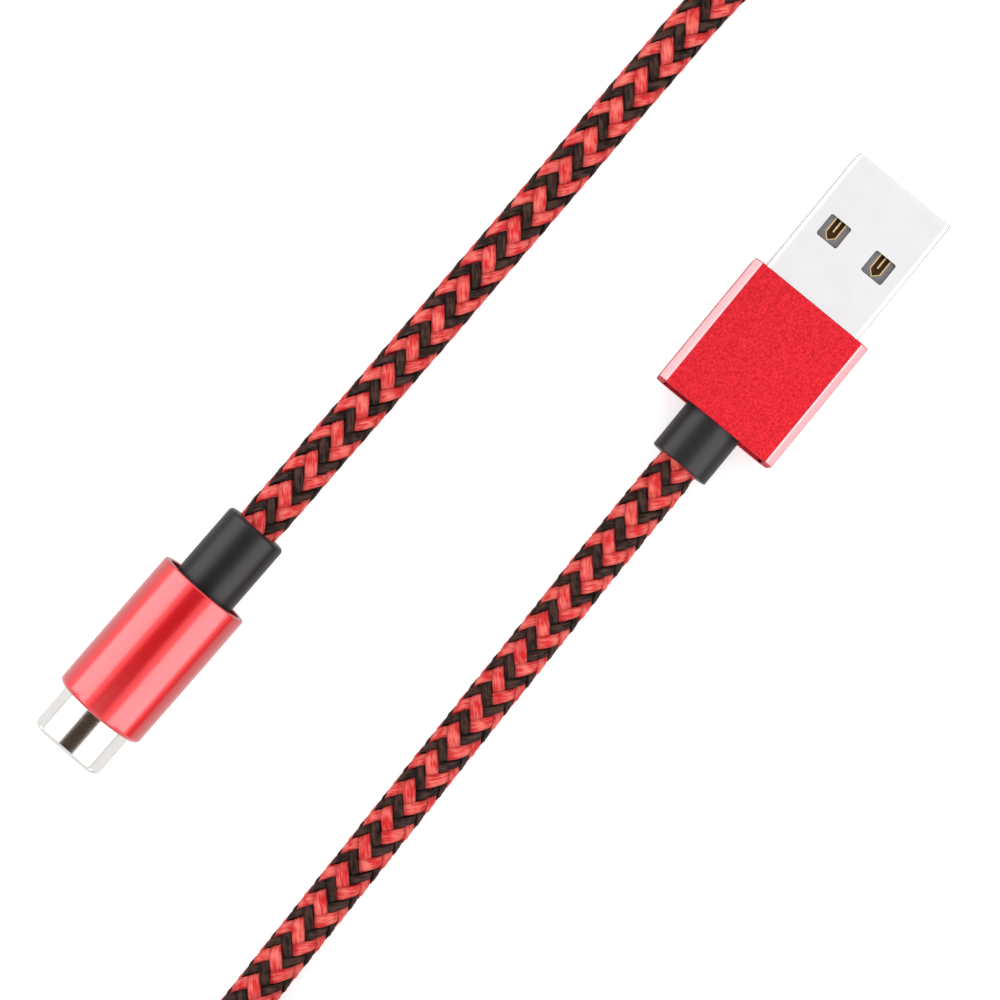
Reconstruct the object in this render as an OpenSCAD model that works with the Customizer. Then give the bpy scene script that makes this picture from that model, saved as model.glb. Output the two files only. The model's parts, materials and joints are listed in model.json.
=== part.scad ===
// Braided charging cable: USB-A plug at one end, USB-C plug at the other.
// Row frame, millimetres: +Z up, floor at z = 0, origin at the middle of the
// underside of the USB-A housing. Each plug is drawn in a frame of its own,
// +Y along the plug towards its tip, and is then turned and set in place.

/* [USB-A plug] */
// Width of the aluminium housing
housing_w = 14.6; // [14:0.1:16]
// Length of the aluminium housing
housing_l = 15.4; // [15:0.1:18]
// Thickness of the aluminium housing
housing_t = 7.4; // [7:0.1:8.4]
// Wall of the aluminium housing
housing_wall = 0.9; // [0.7:0.1:1]
// Width of the chamfer along the long edges of the housing
housing_chamfer = 0.8; // [0.4:0.1:1]
// Width of the steel plug shell, as the USB-A standard sets it
shell_w = 12; // [12:0.1:12]
// Thickness of the steel plug shell, as the USB-A standard sets it
shell_t = 4.5; // [4.5:0.1:4.5]
// Thickness of the sheet that the shell is folded from
shell_sheet = 0.3; // [0.25:0.05:0.35]
// How far the shell stands out of the housing
shell_out = 15; // [13:0.1:16]
// Side of each square latch window
window = 2.6; // [2.3:0.1:2.7]
// Distance between the two windows, centre to centre
window_gap = 5.8; // [5.4:0.1:6]
// Distance from the tip to the front edge of the windows
window_back = 6.6; // [5:0.1:7]
// Diameter of the strain relief collar
collar_a_d = 6.7; // [6.2:0.1:7]
// How far the collar stands out of the housing
collar_a_out = 5.5; // [4:0.1:8]

/* [USB-C plug] */
// Outer diameter of the aluminium barrel
barrel_d = 10.2; // [10:0.1:11]
// Length of the barrel
barrel_l = 16.4; // [16:0.1:20]
// Wall of the barrel
barrel_wall = 0.7; // [0.6:0.05:0.8]
// Width of the steel nose, as the USB-C standard sets it
nose_w = 8.25; // [8.25:0.05:8.25]
// Thickness of the steel nose, as the USB-C standard sets it
nose_t = 2.4; // [2.4:0.1:2.4]
// Wall of the drawn steel nose
nose_wall = 0.28; // [0.2:0.02:0.3]
// How far the nose stands out of the barrel
nose_out = 5.2; // [4.5:0.1:6.7]
// Diameter of the strain relief collar
collar_c_d = 6.9; // [6.4:0.1:7.2]
// How far the collar stands out of the barrel
collar_c_out = 8.1; // [6:0.1:10]

/* [Cord] */
// Outer diameter of the braided cord
cord_d = 4.4; // [4.4:0.1:4.4]
// Diameter of the inner PVC jacket
jacket_d = 3.5; // [3.3:0.1:3.6]
// Diameter of each insulated wire
wire_d = 1; // [0.8:0.05:1.1]
// Radius of the coil at the middle of its turns
coil_r = 25.4; // [25.4:0.1:25.4]
// Width of the strap that ties the coil
tie_w = 8; // [6:1:12]
// Thickness of the strap
tie_t = 0.8; // [0.6:0.1:1]

/* [Layout] */
// Turn of the USB-A plug, clockwise from +Y
plug_a_turn = 39.4; // [39.4:0.1:39.4]
// Turn of the USB-C plug, clockwise from -Y
plug_c_turn = 41; // [41:0.1:41]

/* [Hidden] */
$fn = 64;

// Small amount that a cutter runs past the face it cuts
past = 1;

// Middle height, tip and rear of the USB-A plug, in its own frame
a_mid = housing_t / 2;
a_tip = housing_l / 2 + shell_out;
a_rear = -housing_l / 2;
a_collar_end = a_rear - collar_a_out;
// Depth of the open recess behind the housing, and of the front one
rear_recess = 1;
front_recess = 0.3;
// Rear end of the steel shell, inside the housing
shell_rear = -1;
// Section that is left open inside the housing
bore_w = housing_w - 2 * housing_wall;
bore_t = housing_t - 2 * housing_wall;
// Front of the carrier's block and of the cord's jacket, and the rear of the moulding
tongue_root = a_tip - 12;
jacket_front = -7;
moulding_rear = -5.4;
// Plastic tongue: a little below the upper wall of the shell
tongue_w = shell_w - 2 * shell_sheet - 0.1;
tongue_t = 1.7;
block_top = a_mid + shell_t / 2 - shell_sheet - 0.05;
block_low = a_mid - shell_t / 2 + shell_sheet + 0.05;
tongue_top = block_top - 0.25;
tongue_low = tongue_top - tongue_t;
// Contacts: the outer two lie behind the windows
contact_x = [-window_gap / 2, -0.95, 0.95, window_gap / 2];
contact_w = 1;
contact_t = 0.25;
// Distance from the tip to the front of a blade and of a pocket
blade_back = 1.5;
pocket_back = 2;
contact_tail = -3.6;
// Pocket over each contact, open to the windows, with a pointed rear end
pocket_w = 1.4;
pocket_depth = 1.2;
pocket_end = a_tip - window_back - 2.4;
// Ridge that stands in the pocket
ridge_t = 0.5;
ridge_w = 0.2;
// Crimp ring round the cord jacket
crimp_wall = 0.5;
crimp_l = 1.9;
crimp_d = jacket_d + 2 * crimp_wall + 0.3;
// Gap that a snug cutter leaves round the piece that goes in
snug = 0.02;

// USB-C plug, in its own frame: y = 0 at the rear of the barrel, z = 0 on the axis
c_mid = barrel_d / 2;
c_tip = barrel_l + nose_out;
nose_rear = 8.7;
// Rear of the face insert, front of the rear moulding, rear of that moulding and of the crimp
insert_rear = 14.4;
moulding_c_rear = 2.6;
crimp_c_rear = -2.6;
// Chamber for the board, and where the insulator and the contacts start
chamber_front = 8.65;
insulator_rear = 9.6;
contact_rear = 7.6;
board_rear = 3.6;
board_w = 7.2;
// Distances from the tip to the front of a contact, of the latch, and of the slot's end
contact_back = 1.3;
latch_back = 0.9;
slot_depth = 6.2;
c_bore = barrel_d - 2 * barrel_wall;
slot_w = 6.7;
slot_t = 0.8;
pad_pitch = 0.5;
// Occupied places, counted from the middle of the twelve, of a USB 2.0 plug
upper_places = [-5.5, -2.5, -1.5, -0.5, 0.5, 3.5, 5.5];
lower_places = [-5.5, -2.5, -1.5, 3.5, 5.5];
board_t = 0.8;

// Coil: two turns wide and two turns high, on the floor
coil_x = -44.5;
coil_y = -99.5;
coil_half_w = cord_d + 0.1;
coil_h = 2 * cord_d;
coil_round = 2;
tie_turn = 200;

// Route of the cord from the USB-A collar down to the coil
ROUTE_A = [[-8.4, -10.2, 3.7], [-12, -14.6, 3.4], [-16.8, -20.5, 2.7], [-22, -27.1, 2.2],
    [-29.6, -36.6, 2.2], [-37.4, -46.4, 2.2], [-45.2, -56.2, 2.2], [-53, -66, 2.2],
    [-60, -74.8, 2.2], [-66.2, -82.5, 2.2]];
// Route from the coil, round the right-hand side, to the USB-C collar
ROUTE_C = [[-28, -121.5, 6.4], [-20, -115.5, 5.2], [-12, -109.5, 3.4], [-4, -103.5, 2.3],
    [5, -96.8, 2.2], [14, -89.8, 2.2], [22, -82.4, 2.2], [28.6, -74, 2.2],
    [33.2, -64, 2.2], [35.6, -53, 2.2], [36.3, -42, 2.2], [36.4, -29, 2.2],
    [36.4, -16, 2.2], [36.4, -3, 2.2], [36.4, 10, 2.2], [36.3, 23, 2.2],
    [34.3, 34.2, 2.2], [28.6, 42.1, 2.2], [20.2, 46.5, 2.2], [10.8, 47, 2.2],
    [2, 43.4, 2.2], [-4.5, 37.4, 2.2], [-12, 28.8, 2.2], [-19.5, 20, 2.2],
    [-27, 11.3, 2.2], [-34, 3.1, 2.2], [-39, -2.7, 2.7], [-43.4, -7.8, 3.7],
    [-47.4, -12.5, 4.7], [-51, -16.67, 5.1]];
tube_sides = 12;

// ---- Shapes that repeat ----

// A rectangle with round corners, centred
module rounded_rect(w, h, r) {
    square([w - 2 * r, h], center = true);
    square([w, h - 2 * r], center = true);
    for (x = [-1, 1], y = [-1, 1]) translate([x * (w / 2 - r), y * (h / 2 - r)]) circle(r = r);
}

// A rectangle with cut corners, centred
module cut_rect(w, h, c) {
    a = w / 2;
    b = h / 2;
    polygon([[c - a, -b], [a - c, -b], [a, c - b], [a, b - c],
        [a - c, b], [c - a, b], [-a, b - c], [-a, c - b]]);
}

// A slot shape with full round ends, centred
module stadium(w, h) {
    square([w - h, h], center = true);
    for (x = [-1, 1]) translate([x * (w - h) / 2, 0]) circle(d = h);
}

// Stretch a flat outline (x across, y up) along +Y from y0 to y1
module along_y(y0, y1) {
    translate([0, y1, 0]) rotate([90, 0, 0]) linear_extrude(y1 - y0) children();
}

// A round bar along +Y
module bar_y(d, y0, y1) {
    translate([0, y0, 0]) rotate([-90, 0, 0]) cylinder(d = d, h = y1 - y0);
}

// A round bar with its rear edge rounded by r
module rounded_bar(d, y0, y1, r) {
    rotate([-90, 0, 0]) rotate_extrude() {
        translate([0, y0 + r]) square([d / 2, y1 - y0 - r]);
        translate([0, y0]) square([d / 2 - r, r + 0.01]);
        translate([d / 2 - r, y0 + r]) circle(r = r);
    }
}

// A straight wire from p to q
module wire(p, q) {
    v = q - p;
    translate(p) rotate([0, acos(v[2] / norm(v)), atan2(v[1], v[0])]) cylinder(d = wire_d, h = norm(v));
}

// A box from one corner to the other
module block(low, high) {
    translate(low) cube(high - low);
}

function unit(v) = v / norm(v);
function heading(p, i) = unit(p[min(i + 1, len(p) - 1)] - p[max(i - 1, 0)]);
function across(t) = unit(cross(t, [0, 0, 1]));
// One ring of the tube, square to the route, with a flat side down
function ring(c, t) = [for (k = [0 : tube_sides - 1])
    let (a = 360 * (k + 0.5) / tube_sides)
    c + cord_d / 2 * (cos(a) * across(t) + sin(a) * cross(across(t), t))];

// The cord as a tube swept along a route
module tube(route) {
    n = len(route);
    m = tube_sides;
    polyhedron(
        points = [for (i = [0 : n - 1]) each ring(route[i], heading(route, i))],
        faces = concat(
            [[for (k = [0 : m - 1]) k]],
            [for (i = [0 : n - 2], k = [0 : m - 1])
                [i * m + k, (i + 1) * m + k, (i + 1) * m + (k + 1) % m, i * m + (k + 1) % m]],
            [[for (k = [m - 1 : -1 : 0]) (n - 1) * m + k]]));
}

// Set a USB-A piece in place: its frame has z = 0 on the floor
module at_usb_a() {
    rotate([0, 0, -plug_a_turn]) children();
}

// Set a USB-C piece in place
module at_usb_c() {
    translate([-56.3, -22.77, c_mid]) rotate([0, 0, 180 - plug_c_turn]) children();
}

// ---- USB-A plug ----

// Drawn aluminium tube with cut long edges, open at both ends
module usb_a_housing() {
    color("crimson") at_usb_a() translate([0, 0, a_mid]) along_y(a_rear, -a_rear) difference() {
        cut_rect(housing_w, housing_t, housing_chamfer);
        rounded_rect(bore_w, bore_t, 0.3);
    }
}

// Folded steel shell with two latch windows above and two below
module usb_a_shell() {
    color("silver") at_usb_a() difference() {
        translate([0, 0, a_mid]) along_y(shell_rear, a_tip) difference() {
            rounded_rect(shell_w, shell_t, 0.6);
            rounded_rect(shell_w - 2 * shell_sheet, shell_t - 2 * shell_sheet, 0.3);
        }
        for (x = [-1, 1]) translate([x * window_gap / 2, a_tip - window_back - window / 2, -past])
            linear_extrude(housing_t + 2 * past) rounded_rect(window, window, 0.25);
    }
}

// One pocket outline: straight sides and a pointed rear end
module pocket_outline(w, y0, y1) {
    polygon([[-w / 2, y1], [-w / 2, y0 + w / 2], [0, y0], [w / 2, y0 + w / 2], [w / 2, y1]]);
}

// Plastic carrier: a block that fills the shell, and the tongue in front of it
module usb_a_tongue() {
    color("dimgray") at_usb_a() difference() {
        union() {
            block([-tongue_w / 2, shell_rear + 0.2, block_low], [tongue_w / 2, tongue_root, block_top]);
            block([-tongue_w / 2, tongue_root - 0.5, tongue_low], [tongue_w / 2, a_tip - 0.5, tongue_top]);
        }
        for (x = contact_x) translate([x, 0, 0]) {
            block([-contact_w / 2, shell_rear - past, tongue_low - past],
                [contact_w / 2, a_tip - blade_back, tongue_low + contact_t]);
            translate([0, 0, tongue_top - pocket_depth]) linear_extrude(pocket_depth + past)
                pocket_outline(pocket_w, pocket_end, a_tip - pocket_back);
        }
    }
}

// Four contacts: a flat blade under the tongue, a ridge in the pocket above it,
// and a tail behind the block for the wire
module usb_a_contacts() {
    ridge_low = tongue_low + contact_t;
    color("goldenrod") at_usb_a() for (x = contact_x) translate([x, 0, 0]) {
        block([-contact_w / 2, contact_tail, tongue_low],
            [contact_w / 2, a_tip - blade_back, tongue_low + contact_t]);
        translate([0, 0, ridge_low]) linear_extrude(tongue_t - contact_t - pocket_depth + ridge_t)
            pocket_outline(ridge_w, pocket_end + 1, a_tip - pocket_back);
    }
}

// A bead of solder on each tail
module usb_a_solder() {
    color("lightgray") at_usb_a() for (x = contact_x)
        translate([x, contact_tail + 0.3, tongue_low - 0.5]) cylinder(d = 1.2, h = 0.5);
}

// One insulated wire, fanned from the cord jacket to its tail
module usb_a_wire(place, tint) {
    x = contact_x[place];
    start_x = (place - 1.5) * 0.8;
    start_z = a_mid + (place % 2 == 0 ? 0.6 : -0.6);
    color(tint) at_usb_a() wire([start_x, jacket_front, start_z], [x, contact_tail - 0.35, tongue_low - 0.2]);
}

module usb_a_wire_red() { usb_a_wire(0, "red"); }
module usb_a_wire_white() { usb_a_wire(1, "white"); }
module usb_a_wire_green() { usb_a_wire(2, "green"); }
module usb_a_wire_black() { usb_a_wire(3, "black"); }

// Black moulding that locks the shell in the housing, with a chamber for the wires
module usb_a_inner_moulding() {
    color([0.12, 0.12, 0.12]) at_usb_a() difference() {
        translate([0, 0, a_mid]) along_y(moulding_rear, -a_rear - front_recess)
            rounded_rect(bore_w - 2 * snug, bore_t - 2 * snug, 0.3);
        translate([0, 0, a_mid]) along_y(shell_rear - snug, -a_rear + past)
            rounded_rect(shell_w + 2 * snug, shell_t + 2 * snug, 0.6);
        block([-5, moulding_rear - past, a_mid - 2.2], [5, shell_rear, a_mid + 2.2]);
    }
}

// Metal ring crimped on the jacket, with a strip that earths it to the shell
module usb_a_crimp() {
    y0 = a_rear - 1.8;
    color("silver") at_usb_a() {
        translate([0, 0, a_mid]) difference() {
            bar_y(crimp_d, y0, y0 + crimp_l);
            bar_y(jacket_d + snug, y0 - past, y0 + crimp_l + past);
        }
        difference() {
            block([-1, y0 + 0.4, a_mid - shell_t / 2],
                [1, shell_rear + snug, a_mid - shell_t / 2 + shell_sheet]);
            translate([0, 0, a_mid]) bar_y(jacket_d + snug, y0 - past, y0 + crimp_l + past);
        }
    }
}

// End of the cord's inner jacket, from the collar's mouth to the wires
module usb_a_jacket_end() {
    color([0.1, 0.1, 0.1]) at_usb_a() translate([0, 0, a_mid]) bar_y(jacket_d, a_collar_end, jacket_front);
}

// End of the woven sleeve, held between jacket and collar
module usb_a_braid_end() {
    color("firebrick") at_usb_a() translate([0, 0, a_mid]) difference() {
        bar_y(cord_d, a_collar_end, a_rear - 1.9);
        bar_y(jacket_d + snug, a_collar_end - past, a_rear);
    }
}

// Rubber strain relief: a flange inside the housing and the collar outside it
module usb_a_strain_relief() {
    color([0.15, 0.15, 0.15]) at_usb_a() translate([0, 0, a_mid]) difference() {
        union() {
            along_y(a_rear + rear_recess, moulding_rear - snug)
                rounded_rect(bore_w - 2 * snug, bore_t - 2 * snug, 0.3);
            rounded_bar(collar_a_d, a_collar_end, a_rear + rear_recess + 0.1, 0.2);
        }
        bar_y(cord_d + snug, a_collar_end - past, a_rear);
        bar_y(crimp_d + 0.1, a_rear - 1.88, moulding_rear + past);
    }
}

// ---- USB-C plug ----

// Turned aluminium barrel with rounded ends, open at the rear
module usb_c_barrel() {
    r = 0.5;
    color("crimson") at_usb_c() rotate([-90, 0, 0]) rotate_extrude() {
        translate([c_bore / 2, 0]) square([barrel_wall - 0.15, barrel_l]);
        translate([c_bore / 2, 0.15]) square([barrel_wall, barrel_l - 0.15 - r]);
        translate([barrel_d / 2 - 0.15, 0.15]) circle(r = 0.15);
        translate([barrel_d / 2 - r, barrel_l - r]) intersection() {
            circle(r = r);
            translate([r - barrel_wall, 0]) square([barrel_wall, r]);
        }
    }
}

// Black plastic face that closes the front of the barrel round the nose
module usb_c_face_insert() {
    color([0.12, 0.12, 0.12]) at_usb_c() difference() {
        bar_y(c_bore - snug, insert_rear, barrel_l - 0.5);
        along_y(insert_rear - past, barrel_l + past) stadium(nose_w + snug, nose_t + snug);
    }
}

// Deep-drawn steel nose
module usb_c_nose() {
    color("silver") at_usb_c() along_y(nose_rear, c_tip) difference() {
        stadium(nose_w, nose_t);
        stadium(nose_w - 2 * nose_wall, nose_t - 2 * nose_wall);
    }
}

// Grooves for a row of contacts, or the contacts themselves
module contact_row(places, y0, y1, z0, w) {
    for (p = places) block([p * pad_pitch - w / 2, y0, z0], [p * pad_pitch + w / 2, y1, z0 + 0.15]);
}

// The two arms of the latch, one in each side of the slot
module latch_shape(y0, y1) {
    for (x = [-1, 1]) translate([x * (slot_w / 2 + 0.1), 0, 0]) block([-0.1, y0, -0.15], [0.1, y1, 0.15]);
}

// Plastic insert with the slot that takes the socket's tongue
module usb_c_insulator() {
    color("dimgray") at_usb_c() difference() {
        along_y(insulator_rear, c_tip - 0.25)
            stadium(nose_w - 2 * nose_wall - 2 * snug, nose_t - 2 * nose_wall - 2 * snug);
        block([-slot_w / 2, c_tip - slot_depth, -slot_t / 2], [slot_w / 2, c_tip + past, slot_t / 2]);
        contact_row(upper_places, insulator_rear - past, c_tip - contact_back, slot_t / 2, 0.26);
        contact_row(lower_places, insulator_rear - past, c_tip - contact_back, -slot_t / 2 - 0.15, 0.26);
        latch_shape(insulator_rear - past, c_tip - latch_back);
    }
}

module usb_c_contacts_upper() {
    color("goldenrod") at_usb_c()
        contact_row(upper_places, contact_rear, c_tip - contact_back, slot_t / 2, 0.25);
}

module usb_c_contacts_lower() {
    color("goldenrod") at_usb_c()
        contact_row(lower_places, contact_rear, c_tip - contact_back, -slot_t / 2 - 0.15, 0.25);
}

// Side springs that click into the socket
module usb_c_latch() {
    color("silver") at_usb_c() latch_shape(insulator_rear, c_tip - latch_back);
}

// Spring pads that earth the socket's tongue, near the mouth of the slot
module usb_c_ground_pads() {
    color("silver") at_usb_c() for (x = [-2, 0, 2], z = [-1, 1])
        translate([x, c_tip - 0.75, z * (slot_t / 2 - 0.05)]) cube([1.2, 0.7, 0.1], center = true);
}

// Small circuit board behind the contacts
module usb_c_board() {
    color("darkgreen") at_usb_c()
        block([-board_w / 2, board_rear, -board_t / 2], [board_w / 2, insulator_rear - 0.1, board_t / 2]);
}

// Pull-up resistor on the board
module usb_c_resistor() {
    color([0.1, 0.1, 0.1]) at_usb_c()
        translate([0, 6.2, board_t / 2 + 0.18]) cube([1, 0.5, 0.35], center = true);
}

// Four solder beads, two on each side of the board
module usb_c_solder() {
    color("lightgray") at_usb_c() for (x = [-1, 1], z = [-1, 1])
        translate([x * 1.9, 4.9, z * (board_t / 2 + 0.25)]) cylinder(d = 1.1, h = 0.5, center = true);
}

// One insulated wire from the jacket to its solder bead
module usb_c_wire(x, z, tint) {
    color(tint) at_usb_c() wire([x * 0.62, 0.9, z * 0.62], [x * 1.9, 4.2, z * 0.95]);
}

module usb_c_wire_red() { usb_c_wire(-1, 1, "red"); }
module usb_c_wire_white() { usb_c_wire(1, 1, "white"); }
module usb_c_wire_green() { usb_c_wire(-1, -1, "green"); }
module usb_c_wire_black() { usb_c_wire(1, -1, "black"); }

// Moulding that fills the barrel, with a chamber for the board
module usb_c_inner_moulding() {
    color([0.12, 0.12, 0.12]) at_usb_c() difference() {
        bar_y(c_bore - snug, moulding_c_rear, insert_rear - snug);
        along_y(chamber_front - 0.05, insert_rear + past) stadium(nose_w + snug, nose_t + snug);
        block([-board_w / 2 - 0.1, moulding_c_rear - past, -1.6], [board_w / 2 + 0.1, chamber_front, 1.6]);
    }
}

// Metal ring crimped on the jacket
module usb_c_crimp() {
    color("silver") at_usb_c() difference() {
        bar_y(crimp_d, crimp_c_rear, crimp_c_rear + crimp_l);
        bar_y(jacket_d + snug, crimp_c_rear - past, 0);
    }
}

module usb_c_jacket_end() {
    color([0.1, 0.1, 0.1]) at_usb_c() bar_y(jacket_d, -collar_c_out, 0.9);
}

module usb_c_braid_end() {
    color("firebrick") at_usb_c() difference() {
        bar_y(cord_d, -collar_c_out, crimp_c_rear - 0.1);
        bar_y(jacket_d + snug, -collar_c_out - past, 0);
    }
}

// Rubber strain relief: a flange inside the barrel and the collar outside it
module usb_c_strain_relief() {
    color([0.15, 0.15, 0.15]) at_usb_c() difference() {
        union() {
            bar_y(c_bore - snug, rear_recess, moulding_c_rear - snug);
            rounded_bar(collar_c_d, -collar_c_out, rear_recess + 0.1, 0.5);
        }
        bar_y(cord_d + snug, -collar_c_out - past, 0);
        bar_y(crimp_d + 0.1, crimp_c_rear - 0.08, moulding_c_rear + past);
    }
}

// ---- Cord ----

module cord_run_a() { color("firebrick") tube(ROUTE_A); }

module cord_run_c() { color("firebrick") tube(ROUTE_C); }

// Outer shape of the coil: a ring with rounded edges
module cord_coil() {
    color("firebrick") translate([coil_x, coil_y, coil_h / 2]) rotate_extrude()
        translate([coil_r, 0]) rounded_rect(2 * coil_half_w, coil_h, coil_round);
}

// Woven strap round the coil
module cord_tie() {
    color([0.15, 0.15, 0.15]) translate([coil_x, coil_y, 0]) rotate([0, 0, tie_turn])
        translate([coil_r, 0, coil_h / 2]) along_y(-tie_w / 2, tie_w / 2) difference() {
            rounded_rect(2 * coil_half_w + 2 * tie_t, coil_h, coil_round + 0.2);
            rounded_rect(2 * coil_half_w, coil_h - 2 * tie_t, coil_round);
        }
}

usb_a_housing();
usb_a_shell();
usb_a_tongue();
usb_a_contacts();
usb_a_solder();
usb_a_wire_red();
usb_a_wire_white();
usb_a_wire_green();
usb_a_wire_black();
usb_a_inner_moulding();
usb_a_crimp();
usb_a_jacket_end();
usb_a_braid_end();
usb_a_strain_relief();
usb_c_barrel();
usb_c_face_insert();
usb_c_nose();
usb_c_insulator();
usb_c_contacts_upper();
usb_c_contacts_lower();
usb_c_latch();
usb_c_ground_pads();
usb_c_board();
usb_c_resistor();
usb_c_solder();
usb_c_wire_red();
usb_c_wire_white();
usb_c_wire_green();
usb_c_wire_black();
usb_c_inner_moulding();
usb_c_crimp();
usb_c_jacket_end();
usb_c_braid_end();
usb_c_strain_relief();
cord_run_a();
cord_coil();
cord_run_c();
cord_tie();
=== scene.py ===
# %% [markdown]
# # A braided charging cable
# This lesson builds one charging cable: a square USB-A plug in a frosted red aluminium housing, a round
# USB-C plug in a satin red barrel, and about a metre of red and black braided cord between them. It lies on
# a white light table and is looked at from straight above. The plugs' hard parts take their sizes and places
# from a CAD model.

# %% Load the CAD model as the frame
import json
import math

import bmesh
import bpy
import numpy as np
from mathutils import Matrix, Vector


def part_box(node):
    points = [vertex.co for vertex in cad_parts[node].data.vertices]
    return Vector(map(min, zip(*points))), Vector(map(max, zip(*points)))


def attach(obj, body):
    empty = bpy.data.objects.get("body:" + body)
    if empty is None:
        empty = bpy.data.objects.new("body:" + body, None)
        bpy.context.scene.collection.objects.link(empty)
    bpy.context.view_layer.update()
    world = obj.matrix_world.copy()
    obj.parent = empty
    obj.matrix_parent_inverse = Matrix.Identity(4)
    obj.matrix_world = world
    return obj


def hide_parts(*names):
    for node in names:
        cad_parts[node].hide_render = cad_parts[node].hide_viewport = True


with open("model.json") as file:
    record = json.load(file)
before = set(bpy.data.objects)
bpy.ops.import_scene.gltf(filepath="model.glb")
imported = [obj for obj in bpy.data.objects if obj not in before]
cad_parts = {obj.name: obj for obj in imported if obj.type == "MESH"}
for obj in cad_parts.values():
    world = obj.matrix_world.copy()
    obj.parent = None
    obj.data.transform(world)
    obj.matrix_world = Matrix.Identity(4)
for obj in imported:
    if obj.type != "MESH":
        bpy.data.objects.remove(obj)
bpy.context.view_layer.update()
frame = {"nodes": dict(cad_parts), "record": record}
nodes = frame["nodes"]
MM = 0.001
print("CAD nodes:", len(nodes))

# %% [markdown]
# Each plug has a frame of its own: the origin is in the middle of its tip, +Y points out of the tip and +Z
# points up. The record gives each tip's place and direction as a mount. Pieces are modelled in millimetres
# in that frame and then set in place, because Blender's edit tools work best on numbers near 1.

# %% Plug frames and sizes
def plug_place(mount_name):
    """The matrix that takes a plug's own frame, in millimetres, to the row frame, in metres"""
    mount = next(m for m in frame["record"]["mounts"] if m["name"] == mount_name)
    ahead = Vector(mount["axis"]).normalized()
    up = Vector((0, 0, 1))
    turn = Matrix((ahead.cross(up), ahead, up)).transposed().to_4x4()
    return Matrix.Translation(mount["pos_m"]) @ turn @ Matrix.Scale(MM, 4)


USB_A = plug_place("usb_a_nose")
USB_C = plug_place("usb_c_nose")


def span(node_name, place):
    """Lowest and highest corner of a CAD node, in millimetres, in a plug's own frame"""
    back = place.inverted()
    corners = np.array([back @ v.co for v in nodes[node_name].data.vertices])
    return Vector(corners.min(0)), Vector(corners.max(0))


for node_name, place in (("usb_a_housing", USB_A), ("usb_c_barrel", USB_C)):
    low, high = span(node_name, place)
    print(node_name, "mm:", [round(x, 2) for x in high - low])

# %% [markdown]
# The camera looks straight down from 32 cm with a 112 mm lens. Its frame is 10 cm wide at the height of the
# plugs, and there is just enough perspective to show the rear faces of both.

# %% Camera
VIEW_CENTRE = Vector((-0.0265, -0.0138, 0))
VIEW_HEIGHT = 0.32
LENS_MM = 112.2


def add_camera():
    bpy.ops.object.camera_add(location=VIEW_CENTRE + Vector((0, 0, VIEW_HEIGHT)), rotation=(0, 0, 0))
    camera = bpy.context.object
    camera.data.lens = LENS_MM
    camera.data.sensor_width = 36
    camera.data.clip_start = 0.01
    bpy.context.scene.camera = camera
    return camera


camera = add_camera()

# %% [markdown]
# ## The cord's route
# The cord leaves the USB-A collar, comes down to the table within a few diameters, and runs straight out of
# the picture. There the spare length is wound in a round coil of about three and a half turns, two wide and
# two high. From the coil it goes round the right-hand side to the USB-C collar. The two runs are listed
# points, the same as in the CAD model, and the coil is worked out by a loop.

# %% Route points and coil, in millimetres
CORD_D = 4.4
ROUTE_A = [[-8.4, -10.2, 3.7], [-12, -14.6, 3.4], [-16.8, -20.5, 2.7], [-22, -27.1, 2.2],
           [-29.6, -36.6, 2.2], [-37.4, -46.4, 2.2], [-45.2, -56.2, 2.2], [-53, -66, 2.2],
           [-60, -74.8, 2.2], [-66.2, -82.5, 2.2]]
ROUTE_C = [[-28, -121.5, 6.4], [-20, -115.5, 5.2], [-12, -109.5, 3.4], [-4, -103.5, 2.3],
           [5, -96.8, 2.2], [14, -89.8, 2.2], [22, -82.4, 2.2], [28.6, -74, 2.2],
           [33.2, -64, 2.2], [35.6, -53, 2.2], [36.3, -42, 2.2], [36.4, -29, 2.2],
           [36.4, -16, 2.2], [36.4, -3, 2.2], [36.4, 10, 2.2], [36.3, 23, 2.2],
           [34.3, 34.2, 2.2], [28.6, 42.1, 2.2], [20.2, 46.5, 2.2], [10.8, 47, 2.2],
           [2, 43.4, 2.2], [-4.5, 37.4, 2.2], [-12, 28.8, 2.2], [-19.5, 20, 2.2],
           [-27, 11.3, 2.2], [-34, 3.1, 2.2], [-39, -2.7, 2.7], [-43.4, -7.8, 3.7],
           [-47.4, -12.5, 4.7], [-51, -16.67, 5.1]]
coil_low, coil_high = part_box("cord_coil")
COIL_CENTRE = (coil_low + coil_high) / 2 / MM
COIL_OUTER_R = (coil_high.x - coil_low.x) / 2 / MM - CORD_D / 2 - 0.1
COIL_INNER_R = COIL_OUTER_R - CORD_D
COIL_START, COIL_END = 141.8, 307.0
COIL_TURNS = 3 + (COIL_END - COIL_START) / 360
UPPER_HEIGHT = 6.5    # of the upper layer's centreline
# The turns between which the cord moves in, up and out
MOVE_IN, MOVE_UP, MOVE_OUT = (0.76, 0.95), (1.53, 1.78), (2.42, 2.66)


def ease(x, start, end):
    """0 before start, 1 after end, and a smooth step between"""
    t = np.clip((np.asarray(x, float) - start) / (end - start), 0, 1)
    return t * t * (3 - 2 * t)


def coil_points():
    """The coil's turns: outer and low, inner and low, inner and high, outer and high"""
    turn = np.linspace(0, COIL_TURNS, 110)[1:-1]
    inward = ease(turn, *MOVE_IN) - ease(turn, *MOVE_OUT)
    radius = COIL_OUTER_R - CORD_D * inward
    height = CORD_D / 2 + (UPPER_HEIGHT - CORD_D / 2) * ease(turn, *MOVE_UP)
    angle = np.radians(COIL_START + 360 * turn)
    return np.stack([COIL_CENTRE.x + radius * np.cos(angle),
                     COIL_CENTRE.y + radius * np.sin(angle), height], 1)


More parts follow.
